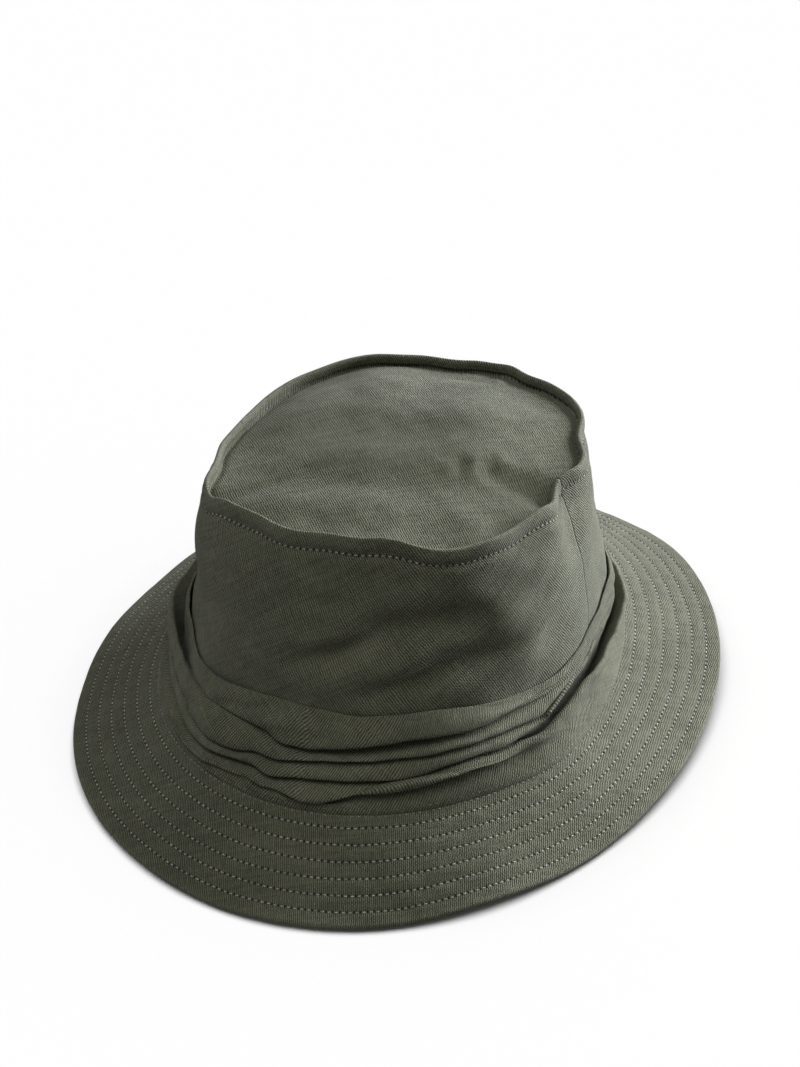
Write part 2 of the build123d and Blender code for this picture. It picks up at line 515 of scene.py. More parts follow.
def twill_group() -> bpy.types.NodeTree:
    """Twill: slanting wales of short yarn floats, with the yarns' unevenness.

    Returns:
        The group. It takes a place on the cloth in metres, with the wales along y, and the wales' pitch.
    """
    group, desk, into, out = new_group(
        "twill_weave", {"Vector": VECTOR, "Pitch": FLOAT}, {"Shade": FLOAT, "Height": FLOAT}
    )
    split = desk.node("ShaderNodeSeparateXYZ")
    desk.feed(split.inputs[0], into.outputs["Vector"])
    wobble = desk.noise(into.outputs["Vector"], 420.0, 2.0)
    across = desk.math("DIVIDE", split.outputs[0], into.outputs["Pitch"])
    across = desk.math("MULTIPLY_ADD", wobble, 1.1, across)
    along = desk.math("DIVIDE", split.outputs[1], into.outputs["Pitch"])
    wale = desk.math("POWER", desk.wave(across), 0.75)
    floats = desk.wave(desk.math("MULTIPLY_ADD", along, 0.62, desk.math("MULTIPLY", across, 0.5)))
    stretched = desk.node("ShaderNodeCombineXYZ")
    desk.feed(stretched.inputs[0], desk.math("MULTIPLY", across, 0.85))
    desk.feed(stretched.inputs[1], desk.math("MULTIPLY", along, 0.16))
    yarn = desk.noise(stretched.outputs[0], 1.0, 2.0)
    fuzz = desk.noise(into.outputs["Vector"], 2300.0, 2.0)
    body = desk.math("MULTIPLY", wale, desk.math("MULTIPLY_ADD", floats, 0.3, 0.7))
    slub = desk.node("ShaderNodeMapping")
    desk.feed(slub.inputs["Vector"], into.outputs["Vector"])
    slub.inputs["Rotation"].default_value[2] = math.radians(38.0)
    slub.inputs["Scale"].default_value = (55.0, 900.0, 1.0)
    streak = desk.noise(slub.outputs[0], 1.0, 2.0)
    grain = desk.math("MULTIPLY_ADD", yarn, 0.5, desk.math("MULTIPLY_ADD", fuzz, 0.5, -0.75))
    grain = desk.math("MULTIPLY_ADD", streak, 0.5, grain)
    desk.feed(out.inputs["Shade"], desk.math("ADD", desk.math("MULTIPLY", body, 0.8), grain))
    desk.feed(out.inputs["Height"], desk.math("MULTIPLY_ADD", fuzz, 0.12, body))
    return group


def mottle_group() -> bpy.types.NodeTree:
    """Washed cloth: broad and fine patches of tone, from 0 to 1."""
    group, desk, into, out = new_group("washed_mottle", {"Vector": VECTOR}, {"Tone": FLOAT})
    broad = desk.noise(into.outputs["Vector"], 14.0, 2.0)
    fine = desk.noise(into.outputs["Vector"], 95.0, 4.0, 0.6)
    mixed = desk.math("ADD", desk.math("MULTIPLY", broad, 0.6), desk.math("MULTIPLY", fine, 0.4))
    desk.feed(out.inputs["Tone"], desk.range(mixed, 0.32, 0.68, 0.0, 1.0))
    return group


def needle_group() -> bpy.types.NodeTree:
    """Needle holes: pricks between stitches, from the stitch count and the distance to the row in mm; the
    mask dents the cloth and sets where shade is painted into the holes.
    """
    group, desk, into, out = new_group("needle_holes", {"Vector": VECTOR}, {"Hole": FLOAT})
    split = desk.node("ShaderNodeSeparateXYZ")
    desk.feed(split.inputs[0], into.outputs["Vector"])
    phase = desk.wave(split.outputs[0])
    gap = desk.math("ABSOLUTE", split.outputs[1])
    near = desk.range(gap, 0.25, 0.62, 1.0, 0.0)
    desk.feed(out.inputs["Hole"], desk.math("MULTIPLY", near, desk.range(phase, 0.72, 0.95, 0.0, 1.0)))
    return group


def linen_group() -> bpy.types.NodeTree:
    """Plain weave: yarns over and under at right angles."""
    group, desk, into, out = new_group(
        "plain_weave", {"Vector": VECTOR, "Pitch": FLOAT}, {"Shade": FLOAT, "Height": FLOAT}
    )
    split = desk.node("ShaderNodeSeparateXYZ")
    desk.feed(split.inputs[0], into.outputs["Vector"])
    first = desk.wave(desk.math("DIVIDE", split.outputs[0], into.outputs["Pitch"]))
    second = desk.wave(desk.math("DIVIDE", split.outputs[1], into.outputs["Pitch"]))
    body = desk.math("ABSOLUTE", desk.math("SUBTRACT", first, second))
    fuzz = desk.noise(into.outputs["Vector"], 1500.0, 2.0)
    desk.feed(out.inputs["Shade"], desk.math("MULTIPLY_ADD", fuzz, 0.4, desk.math("MULTIPLY", body, 0.6)))
    desk.feed(out.inputs["Height"], desk.math("MULTIPLY_ADD", fuzz, 0.3, body))
    return group


@dataclass(frozen=True)
class Cloth:
    """A woven cloth's finish.

    Attributes:
        name: The material's name.
        dark, light: Colours in the furrows and on the yarns.
        weave: The name of the weave's node group.
        pitch: Distance between wales or yarns, in mm.
        slant: Turn of the weave on the cloth, in degrees.
        relief: Depth of the weave, in mm.
        rubbed: Colour where it is worn.
        rows: Whether rows of needle holes run over it, dented and with painted shade in them.
        mottle: How much the washed patches change its tone.
    """

    name: str
    dark: tuple[float, float, float]
    light: tuple[float, float, float]
    weave: str = "twill_weave"
    pitch: float = 1.0
    slant: float = 0.0
    relief: float = 0.22
    rubbed: tuple[float, float, float] = (0.27, 0.277, 0.195)
    rows: bool = False
    mottle: float = 0.22

    def make(self) -> bpy.types.Material:
        """Builds the material."""
        material = bpy.data.materials.new(self.name)
        material.use_nodes = True
        material.node_tree.nodes.clear()
        desk = Desk(material.node_tree)
        flat = desk.node("ShaderNodeUVMap", uv_map="weave")
        turned = desk.node("ShaderNodeMapping")
        desk.feed(turned.inputs["Vector"], flat.outputs[0])
        turned.inputs["Rotation"].default_value[2] = math.radians(self.slant)
        weave = desk.node("ShaderNodeGroup", node_tree=bpy.data.node_groups[self.weave])
        desk.feed(weave.inputs["Vector"], turned.outputs[0])
        weave.inputs["Pitch"].default_value = self.pitch * MM
        place = desk.node("ShaderNodeTexCoord")
        mottle = desk.node("ShaderNodeGroup", node_tree=bpy.data.node_groups["washed_mottle"])
        desk.feed(mottle.inputs["Vector"], place.outputs["Object"])
        shade = desk.math("MULTIPLY_ADD", mottle.outputs["Tone"], self.mottle, weave.outputs["Shade"])
        colour = desk.mix(desk.range(shade, 0.0, 1.1, 0.0, 1.0), (*self.dark, 1), (*self.light, 1))
        wear = desk.node("ShaderNodeAttribute", attribute_name="wear")
        patches = desk.range(mottle.outputs["Tone"], 0.0, 1.0, 0.5, 1.0)
        worn = desk.math("MULTIPLY", wear.outputs["Fac"], patches)
        colour = desk.mix(desk.math("MULTIPLY", worn, weave.outputs["Shade"]), colour, (*self.rubbed, 1))
        height = weave.outputs["Height"]
        if self.rows:
            needle = desk.node("ShaderNodeUVMap", uv_map="needle")
            holes = desk.node("ShaderNodeGroup", node_tree=bpy.data.node_groups["needle_holes"])
            desk.feed(holes.inputs["Vector"], needle.outputs[0])
            # Painted shade: the needle holes are darkened in the colour as though shade fell into them; the
            # bump only dents them.
            painted_hole_shade = tuple(0.18 * part for part in self.dark)
            colour = desk.mix(desk.math("MULTIPLY", holes.outputs["Hole"], 0.85), colour, (*painted_hole_shade, 1))
            height = desk.math("MULTIPLY_ADD", holes.outputs["Hole"], -2.0, height)
        bump = desk.node("ShaderNodeBump")
        bump.inputs["Strength"].default_value = 1.0
        bump.inputs["Distance"].default_value = self.relief * MM
        desk.feed(bump.inputs["Height"], height)
        skin = desk.node("ShaderNodeBsdfPrincipled")
        desk.feed(skin.inputs["Base Color"], colour)
        desk.feed(skin.inputs["Roughness"], desk.range(shade, 0.0, 1.0, 0.98, 0.86))
        desk.feed(skin.inputs["Normal"], bump.outputs[0])
        skin.inputs["Specular IOR Level"].default_value = 0.18
        skin.inputs["Sheen Weight"].default_value = 0.12
        skin.inputs["Sheen Roughness"].default_value = 0.5
        end = desk.node("ShaderNodeOutputMaterial")
        desk.feed(end.inputs["Surface"], skin.outputs[0])
        return material


@dataclass(frozen=True)
class SewingThread:
    """Spun sewing thread."""

    name: str
    colour: tuple[float, float, float]

    def make(self) -> bpy.types.Material:
        """Builds the material: a little uneven in tone, with a fine noise bump."""
        material = bpy.data.materials.new(self.name)
        material.use_nodes = True
        material.node_tree.nodes.clear()
        desk = Desk(material.node_tree)
        place = desk.node("ShaderNodeTexCoord")
        tone = desk.noise(place.outputs["Object"], 420.0, 2.0)
        dark = tuple(0.55 * part for part in self.colour)
        light = tuple(min(1.0, 1.25 * part) for part in self.colour)
        colour = desk.mix(desk.range(tone, 0.3, 0.7, 0.0, 1.0), (*dark, 1), (*light, 1))
        bump = desk.node("ShaderNodeBump")
        bump.inputs["Distance"].default_value = 0.08 * MM
        desk.feed(bump.inputs["Height"], desk.noise(place.outputs["Object"], 3000.0, 2.0))
        skin = desk.node("ShaderNodeBsdfPrincipled")
        desk.feed(skin.inputs["Base Color"], colour)
        desk.feed(skin.inputs["Roughness"], desk.range(tone, 0.2, 0.8, 0.7, 0.55))
        desk.feed(skin.inputs["Normal"], bump.outputs[0])
        skin.inputs["Sheen Weight"].default_value = 0.1
        end = desk.node("ShaderNodeOutputMaterial")
        desk.feed(end.inputs["Surface"], skin.outputs[0])
        return material


TWILL_DARK, TWILL_LIGHT = (0.040, 0.0408, 0.0235), (0.225, 0.231, 0.154)


def make_finishes() -> dict[str, bpy.types.Material]:
    """Builds the shared node groups and every finish of the hat."""
    twill_group()
    mottle_group()
    needle_group()
    linen_group()
    cloths = (
        Cloth("brim_twill", TWILL_DARK, TWILL_LIGHT, slant=-32.5, pitch=0.74, rows=True),
        Cloth("under_twill", TWILL_DARK, TWILL_LIGHT, slant=-32.5, pitch=0.74, rows=True),
        Cloth("crown_twill", TWILL_DARK, TWILL_LIGHT, slant=-33.0, pitch=0.84, rows=True),
        Cloth("band_twill", TWILL_DARK, TWILL_LIGHT, slant=26.0, pitch=0.82),
        Cloth("tip_twill", TWILL_DARK, TWILL_LIGHT, slant=-39.4, pitch=0.82, relief=0.13),
        Cloth("lining_weave", (0.07, 0.071, 0.056), (0.17, 0.173, 0.14), "plain_weave", 0.5, 0.0, 0.08),
        Cloth(
            "sweatband_weave", (0.035, 0.036, 0.028), (0.12, 0.122, 0.098), "plain_weave", 0.7, 45.0, 0.14,
            rows=True,
        ),
        Cloth("interlining_weave", (0.45, 0.44, 0.40), (0.72, 0.71, 0.66), "plain_weave", 0.8, 0.0, 0.1),
    )
    finishes = {cloth.name: cloth.make() for cloth in cloths}
    finishes["row_thread"] = SewingThread("row_thread", (0.42, 0.425, 0.345)).make()
    finishes["seam_thread"] = SewingThread("seam_thread", (0.24, 0.244, 0.19)).make()
    return finishes


def dress(
    piece: bpy.types.Object, material: bpy.types.Material, slot: str, body: str | None, *nodes: str
) -> None:
    """Gives a piece its finish and the body it rides on, and hides the CAD nodes it stands for."""
    piece.data.materials.append(material)
    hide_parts(*nodes)
    if body is not None:
        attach(piece, body)
    log.info("%s: %d faces, stands for %s", piece.name, len(piece.data.polygons), ", ".join(nodes))


FULL_TURN = np.linspace(-180, 180, 1441)
LEVEL = (1, 1, 0)


def row_phase(surface: Surface, share: Array | float, turns: Array, stitching: Stitching) -> Array:
    """How many stitches of a row that runs right round have gone by at some turns.

    Args:
        surface: What the row is sewn on.
        share: The row's share across it, the same all round or one for each of FULL_TURN.
        turns: Where to count, in degrees.
        stitching: The row's stitches.

    Returns:
        The count at each turn; it is whole between two stitches.
    """
    line = surface(FULL_TURN, share + 0 * FULL_TURN)
    steps = np.linalg.norm(np.diff(line, axis=0), axis=-1)
    along = np.concatenate([[0.0], np.cumsum(steps)])
    return np.interp(turns, FULL_TURN, along / along[-1] * stitching.count(line))


# ---- The hat's sub-assemblies ------------------------------------------------------------
@dataclass
class Brim:
    """The sloping brim: two plies over an interlining, six rows of stitching and a turned edge."""

    seam: Oval = field(default_factory=lambda: Oval.of("draped_band"))
    edge: Oval = field(default_factory=lambda: Oval.of("brim_upper").grown(-1.3))
    seam_height: float = field(default_factory=lambda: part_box("brim_upper")[1].z / MM)
    edge_height: float = 3.4
    edge_clearance: float = 1.3
    flare: float = 1.15
    row_count: int = 6
    row_first: float = 0.13
    row_last: float = 0.875
    groove: float = 0.32
    groove_width: float = 1.1
    bead: float = 1.1
    thickness: float = 2.2
    ply: float = 0.8
    hem: float = 4.0
    over: float = 0.86
    round_end: float = 0.95
    under_share: float = 0.925
    row_wear: float = 0.55
    rounds: int = 480
    sway: Ripple = Ripple(11, 78.0, 0.45)
    pucker: Ripple = Ripple(12, 9.0, 0.07)
    stitching: Stitching = Stitching()

    def rows(self) -> Array:
        """The shares at which the rows of stitching lie."""
        return np.linspace(self.row_first, self.row_last, self.row_count)

    def seam_push(self, turn: Array) -> Array:
        """How far the seam stands outside its oval."""
        return swells(turn, (2.2, -26, 12), (-4.8, 20, 30), (-2.6, 180, 45))

    def seam_at(self, turn: Array) -> Array:
        """The seam's height."""
        return self.seam_height + 0.6 - 0.8 * np.cos(np.radians(2 * turn))

    def edge_push(self, turn: Array) -> Array:
        """How far the free edge stands outside its oval."""
        angle = np.radians(turn)
        push = 0.4 * np.sin(angle) - 1.0 * np.cos(3 * angle) + 0.9 * np.sin(3 * angle)
        return push + swells(turn, (-1.6, 172, 30), (1.5, 50, 20), (1.4, -135, 18), (0.4, -65, 22))

    def edge_at(self, turn: Array) -> Array:
        """The free edge's height: it lifts at the right and the back and lies down at the left."""
        angle = np.radians(turn)
        lift = 3.0 * np.cos(angle) + 3.2 * np.sin(angle) - 1.2 * np.cos(2 * angle)
        lift = lift + 0.9 * np.cos(3 * angle) + 1.8 * np.sin(3 * angle)
        floor = self.thickness + self.edge_clearance
        raw = self.edge_height + lift - floor
        return floor + 0.5 * (raw + np.sqrt(raw * raw + 2.0))

    def run(self) -> float:
        """The brim's width along its slope, about."""
        level = self.edge.half_width - self.seam.half_width
        return math.hypot(level + 2.0, self.seam_height - self.edge_height)

    def groove_at(self, share: Array) -> Array:
        """How far the stitching pulls the cloth down."""
        gap = (share[..., None] - self.rows()) * self.run()
        return self.groove * np.exp(-((gap / self.groove_width) ** 2)).sum(-1)

    def top(self, turn: Array, share: Array) -> Array:
        """The upper face, from the seam at share 0 to the free edge at 1."""
        push = (1 - share) * self.seam_push(turn) + share * self.edge_push(turn)
        fall = np.maximum(1 - share, 0.0) ** self.flare
        height = self.edge_at(turn) + (self.seam_at(turn) - self.edge_at(turn)) * fall
        ridge = swell(turn, -50, 11) * (turn <= -50) + swell(turn, -50, 22) * (turn > -50)
        height = height + 1.5 * ridge * np.clip(share, 0, 1) * (1.15 - np.clip(share, 0, 1))
        points = on_ovals(self.seam, self.edge, share, turn, push, height)
        points[..., 2] += self.sway.at(points) * share - self.groove_at(share)
        points[..., 2] += self.pucker.at(points)
        return points

    def below(self, depth: float) -> Surface:
        """The surface some way under the upper face."""

        def surface(turn: Array, share: Array) -> Array:
            points = self.top(turn, share)
            points[..., 2] += 1.6 * self.groove_at(share) if depth > self.thickness - 0.1 else 0.0
            return points + depth * normals_of(self.top, turn, share)

        return surface

    def turned(self, turn: Array, share: Array) -> Array:
        """The upper ply: over the top, round the bead at the edge and back under by the hem."""
        flat = np.minimum(share / self.over, 1.0)
        points = self.top(turn, flat)
        normal = normals_of(self.top, turn, np.minimum(flat, 0.995))
        ahead = self.top(turn, flat) - self.top(turn, flat - 0.01)
        ahead /= np.linalg.norm(ahead, axis=-1, keepdims=True)
        bend = np.clip((share - self.over) / (self.round_end - self.over), 0, 1) * np.pi
        back = np.clip((share - self.round_end) / (1 - self.round_end), 0, 1) * self.hem
        reach = self.bead * np.sin(bend) - back
        drop = self.bead * (1 - np.cos(bend))
        return points + ahead * reach[..., None] + normal * drop[..., None]

    def needle(self, scale: float) -> Callable[[Array, Array, Array], tuple[Array, Array]]:
        """A needle-row map for a sheet whose share must be divided by scale."""

        def rows(turn: Array, share: Array, net: Array) -> tuple[Array, Array]:
            flat = share / scale
            nearest = np.abs(flat[..., None] - self.rows()).argmin(-1)
            gap = (flat - self.rows()[nearest]) * self.run()
            count = np.zeros_like(turn)
            for index, place in enumerate(self.rows()):
                count = np.where(nearest == index, row_phase(self.top, place, turn[0], self.stitching), count)
            return count, gap

        return rows

    def build(self, finishes: dict[str, bpy.types.Material]) -> None:
        """Makes the plies, the interlining and the rows of stitching."""
        upper = Sheet(
            "brim_upper_ply", self.turned, 84, self.rounds, Facing.UP, Cut.FAN, self.ply,
            needle_rows=self.needle(self.over),
            wear=lambda turn, share: self.row_wear * swell(share * 360, 0.9 * 360, 16),
        ).make()
        dress(upper, finishes["brim_twill"], "twill", BRIM_BODY, "brim_upper")
        under_face = self.below(self.thickness)
        under = Sheet(
            "brim_under_ply", lambda turn, share: under_face(turn, share * self.under_share), 54, self.rounds,
            Facing.DOWN, Cut.FAN, self.ply, needle_rows=self.needle(1 / self.under_share),
        ).make()
        dress(under, finishes["under_twill"], "twill", BRIM_BODY, "brim_under")
        middle_face = self.below(self.ply + 0.08)
        middle = Sheet(
            "brim_stiffener", lambda turn, share: middle_face(turn, 0.01 + share * 0.93), 40, 240,
            Facing.UP, Cut.FAN, 0.4,
        ).make()
        dress(middle, finishes["interlining_weave"], "interlining_cloth", BRIM_BODY, "brim_interlining")
        area = math.pi * self.edge.half_width * self.edge.half_length
        area -= math.pi * self.seam.half_width * self.seam.half_length
        for index, place in enumerate(self.rows()):
            shares = np.full_like(FULL_TURN, place)
            sides = [(self.top, FULL_TURN, shares, -1.0), (under_face, FULL_TURN, shares, 1.0)]
            row = sew_on(f"brim_row_{index + 1}", sides, self.stitching)
            dress(row, finishes["row_thread"], "thread", BRIM_BODY, f"brim_stitch_row_{index + 1}")
        shares = np.full_like(FULL_TURN, 0.035)
        edge_row = sew_on(
            "brim_seam_row", [(self.top, FULL_TURN, shares, -1.0)], Stitching(length=1.2, seed=9)
        )
        dress(edge_row, finishes["seam_thread"], "thread", BRIM_BODY, "brim_edge_stitch")


@dataclass
class Crown:
    """The crown: two side panels with a raised rim, a recessed tip, and the lining behind them."""

    foot: Oval = field(default_factory=lambda: Oval.of("side_lining").grown(1.5))
    foot_height: float = field(default_factory=lambda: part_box("crown_front")[0].z / MM)
    top: float = field(default_factory=lambda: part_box("crown_front")[1].z / MM)
    rim: Oval = field(default_factory=lambda: Oval.of("rim_stitch").grown(-1.5))
    fin: float = 5.9
    fin_wall: float = 2.0
    hem: float = 2.4
    up_share: float = 0.90
    bend_share: float = 0.95
    skirt: float = 8.0
    bulge: float = 1.5
    dome: float = 5.0
    sway: Ripple = Ripple(21, 46.0, 0.55, (1.0, 1.0, 0.7))
    crumple: Ripple = Ripple(22, 16.0, 0.16)
    fin_sway: Ripple = Ripple(23, 30.0, 0.7)
    tip_sway: Ripple = Ripple(24, 34.0, 0.5)
    tip_crumple: Ripple = Ripple(25, 12.0, 0.06)
    stitching: Stitching = Stitching(pitch=2.3, length=1.2, width=0.42, height=0.36, seed=31)
    seam_stitching: Stitching = Stitching(
        pitch=2.3, length=1.1, width=0.3, height=0.25, sink=0.05, seed=33
    )
    dents: tuple[Dent, ...] = (
        Dent(-29, 68, 12, 34, -2.4, -0.5),
        Dent(-80, 74.5, 8.5, 6, 4.8, 1.3),
        Dent(-65, 83.5, 12, 6, 4.8),
        Dent(-46, 84, 9, 6, 2.6),
        Dent(-61, 63.5, 10, 5.5, 4.4, 1.4),
        Dent(-40, 67, 11, 5.5, 3.2),
        Dent(-84, 91, 14, 4, 1.5),
        Dent(-18, 63, 8, 8, 1.3, 0.4),
        Dent(-22, 80, 7, 7, 1.1, 0.8),
        Dent(-126, 74, 13, 14, 1.1, 0.3),
        Dent(8, 88, 24, 12, 0.6),
        Dent(22, 78, 20, 22, 1.4),
        Dent(170, 72, 22, 16, 2.2, 0.4),
        Dent(-150, 60, 18, 16, 4.2),
        Dent(95, 70, 24, 14, 2.6, -0.5),
        Dent(60, 82, 12, 12, -1.4, 0.3),
        Dent(130, 84, 14, 10, 1.4, 0.6),
        Dent(-128, 92, 10, 14, -1.2),
    )
    hollows: tuple[Hollow, ...] = (
        Hollow(-14.0, -28.0, 44.0, 15.0, 8.0, 2.0),
        Hollow(14.0, 20.0, 24.0, 22.0, 30.0, -0.8),
        Hollow(25.0, -5.0, 7.5, 2.4, 108.0, 0.75),
        Hollow(34.5, 0.5, 6.5, 2.6, 104.0, 0.7),
        Hollow(30.0, -3.0, 6.0, 1.8, 108.0, -0.45),
        Hollow(14.5, 64.0, 3.0, 2.2, 110.0, -1.3),
        Hollow(2.0, 61.0, 9.0, 3.0, 10.0, 0.9),
        Hollow(-30.0, 8.0, 20.0, 10.0, 20.0, 0.7),
    )

    def crease_at(self, turn: Array) -> Array:
        """The height of the crease where the panels go down into the folded band."""
        rise = swells(
            turn, (7.5, -85, 38), (2.5, 12, 30), (2.4, -109, 17), (1.2, -88, 10), (3.9, -52, 17),
            (-0.9, -20, 9), (2.0, 180, 45), (2.0, 95, 35),
        )
        return self.foot_height + 5.5 + rise

    def rim_at(self, turn: Array) -> Array:
        """The height of the rim's free edge."""
        waves = swells(
            turn, (3.0, -88, 26), (-1.8, -35, 16), (-1.5, 178, 26), (-2.2, -136, 4), (-2.4, -8, 5),
            (1.2, 4, 5), (-1.2, 82, 5), (0.8, 120, 12), (-0.9, -96, 9), (1.2, -67, 8), (1.3, -38, 7),
            (-2.7, 158, 36), (-1.5, 104, 22), (-1.0, -167, 12),
        )
        return self.top - 1.5 - 3.8 * np.sin(np.radians(turn)) + waves

    def rim_push(self, turn: Array) -> Array:
        """How far the rim stands outside its oval."""
        return swells(
            turn, (-3.4, -82, 24), (2.0, -44, 14), (2.4, -140, 9), (-4.6, -1, 7), (1.2, 16, 8),
            (-3.0, 176, 15), (2.2, 50, 14), (-2.0, 93, 10), (-1.6, 142, 14),
        )

    def wall(self, turn: Array, share: Array, out: float = 0.0) -> Array:
        """The panels' outer face.

        Args:
            turn: Angles in degrees.
            share: 0 at the hidden lower edge and 1 at the rim's free edge.
            out: How far outside the face, in mm.

        Returns:
            The points, in mm.
        """
        low = self.crease_at(turn) - self.skirt
        high = self.rim_at(turn)
        height = low + share * (high - low)
        below = high - height
        rise = np.clip((height - self.foot_height) / (self.top - self.foot_height), -0.2, 1.2)
        lean = np.sign(rise) * np.abs(rise) ** 1.25
        push = self.rim_push(turn) * ease(share, 0.35, 1.0)
        push = push + self.bulge * np.sin(np.pi * np.clip(share, 0, 1)) * ease(below, 4.0, 22.0)
        for dent in self.dents:
            push = push - dent.at(turn, height)
        spine = on_ovals(self.foot, self.rim, lean, turn, push, height)
        on_fin = ease(below, self.fin + 1.5, self.fin - 1.0)
        push = push + self.sway.at(spine) + self.crumple.at(spine)
        push = push + on_fin * self.fin_sway.at(spine * LEVEL)
        push = push - 0.9 * np.exp(-(((below - self.fin) / 1.3) ** 2)) - 0.6 * on_fin
        return on_ovals(self.foot, self.rim, lean, turn, push + out, height)

    def over_rim(self, turn: Array, share: Array) -> Array:
        """The panels' cloth: up the outer face, over the rim's free edge and a little way down inside."""
        wall_share = np.minimum(share / self.up_share, 1.0)
        bend = np.clip((share - self.up_share) / (self.bend_share - self.up_share), 0, 1) * np.pi
        down = np.clip((share - self.bend_share) / (1 - self.bend_share), 0, 1) * self.hem
        half = self.fin_wall / 2
        drop = half * (1 - np.sin(bend)) * (bend > 0) + down
        points = self.wall(turn, wall_share)
        inward = self.wall(turn, wall_share, -1.0) - points
        shift = half * (1 - np.cos(bend))
        points = points + inward * shift[..., None]
        points[..., 2] -= np.where(bend > 0, drop, half * ease(share, 0.86, self.up_share))
        return points

    def fin_share(self, turn: Array, depth: Array) -> Array:
        """The share up the wall of a place that lies a depth below the rim's free edge."""
        return 1 - depth / (self.rim_at(turn) - self.crease_at(turn) + self.skirt)

    def recess_at(self, turn: Array) -> Array:
        """How far below the rim's free edge the tip is sewn in."""
        return 4.6 + swells(turn, (-2.0, 22, 32), (0.6, -90, 45))

    def tip_surface(self, drop: float = 0.0) -> Surface:
        """The tip: a dome from its middle at share 0 to the foot of the rim, then up behind the rim."""
        dish_end, gap = 0.90, 0.25

        def surface(turn: Array, share: Array) -> Array:
            dish = np.minimum(share / dish_end, 1.0)
            rise = np.clip((share - dish_end) / (1 - dish_end), 0, 1)
            recess = self.recess_at(turn)
            climb = self.fin_share(turn, recess - rise * (recess - 1.1))
            border = self.wall(turn, climb, -self.fin_wall - gap)
            base = self.wall(turn, self.fin_share(turn, recess), -self.fin_wall - gap)
            points = base * dish[..., None]
            centre = self.top - 5.0 + self.dome
            points[..., 2] = centre + (base[..., 2] - centre) * dish**2.6
            points[..., 2] -= 0.9 * np.exp(-(((1 - dish) * 68 / 1.8) ** 2))
            soft = 1 - dish**8
            spots = sum(hollow.at(points) for hollow in self.hollows)
            sway = self.tip_sway.at(points * LEVEL) + self.tip_crumple.at(points * LEVEL)
            points[..., 2] += soft * (sway - spots)
            points = np.where((rise > 0)[..., None], border, points)
            points[..., 2] -= drop
            return points

        return surface

    def needle(self, turn: Array, share: Array, net: Array) -> tuple[Array, Array]:
        """The needle-row map of the panels: one row below the rim's free edge."""
        wall_height = self.rim_at(turn) - self.crease_at(turn) + self.skirt
        below = (1 - np.minimum(share / self.up_share, 1.0)) * wall_height
        place = self.fin_share(FULL_TURN, 0 * FULL_TURN + self.fin)
        count = row_phase(self.wall, place, turn[0], self.stitching)
        return np.broadcast_to(count, turn.shape), below - self.fin

    def build(self, finishes: dict[str, bpy.types.Material]) -> None:
        """Makes the panels, the tip, their stitching and the lining."""
        for name, start, end in (("crown_front", -180.0, 0.0), ("crown_back", 0.0, 180.0)):
            panel = Sheet(
                f"{name}_panel", self.over_rim, 96, 250, Facing.OUT, Cut.ROLLED, 0.9, start, end,
                needle_rows=self.needle, wear=lambda turn, share: 0.75 * swell(share * 360, 0.925 * 360, 12),
            ).make()
            dress(panel, finishes["crown_twill"], "twill", CROWN_BODY, name)
        tip = Sheet(
            "crown_tip_oval", self.tip_surface(), 76, 320, Facing.UP, Cut.FLAT, 0.8,
            wear=lambda turn, share: 0.25 * swell(share * 360, 0, 120),
        ).make()
        dress(tip, finishes["tip_twill"], "twill", CROWN_BODY, "crown_tip")
        self._sew(finishes)
        self._line(finishes)

    def _sew(self, finishes: dict[str, bpy.types.Material]) -> None:
        """Sews the rim, the tip and the two side seams."""
        turns = FULL_TURN
        rim_share = self.fin_share(turns, self.fin + 0 * turns)
        rim_row = sew_on("rim_row", [(self.wall, turns, rim_share, 1.0)], self.stitching)
        dress(rim_row, finishes["row_thread"], "thread", CROWN_BODY, "rim_stitch")
        tip_side = (self.tip_surface(), turns, np.full_like(turns, 0.925), -1.0)
        tip_row = sew_on("tip_row", [tip_side], self.stitching)
        dress(tip_row, finishes["seam_thread"], "thread", CROWN_BODY, "tip_stitch")
        shares = np.linspace(0.1, 0.86, 300)
        for name, turn in (("right", 1.6), ("left", -178.4)):
            side = (self.wall, np.full_like(shares, turn), shares, 1.0)
            seam_row = sew_on(f"side_seam_row_{name}", [side], self.seam_stitching)
            dress(seam_row, finishes["seam_thread"], "thread", CROWN_BODY, f"seam_stitch_{name}")

    def _line(self, finishes: dict[str, bpy.types.Material]) -> None:
        """Hangs the lining inside the crown."""

        def side(turn: Array, share: Array) -> Array:
            low, high = -0.22, self.fin_share(turn, self.recess_at(turn) + 3.0)
            return self.wall(turn, low + share * (high - low), -2.6)

        lining = Sheet("crown_side_lining", side, 40, 260, Facing.IN, Cut.ROLLED, 0.4).make()
        dress(lining, finishes["lining_weave"], "lining_cloth", None, "side_lining")
        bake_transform(lining)

        def dome(turn: Array, share: Array) -> Array:
            return self.tip_surface(2.2)(turn, share * 0.86)

        oval = Sheet("crown_tip_lining", dome, 30, 200, Facing.DOWN, Cut.FLAT, 0.4).make()
        dress(oval, finishes["lining_weave"], "lining_cloth", CROWN_BODY, "tip_lining")


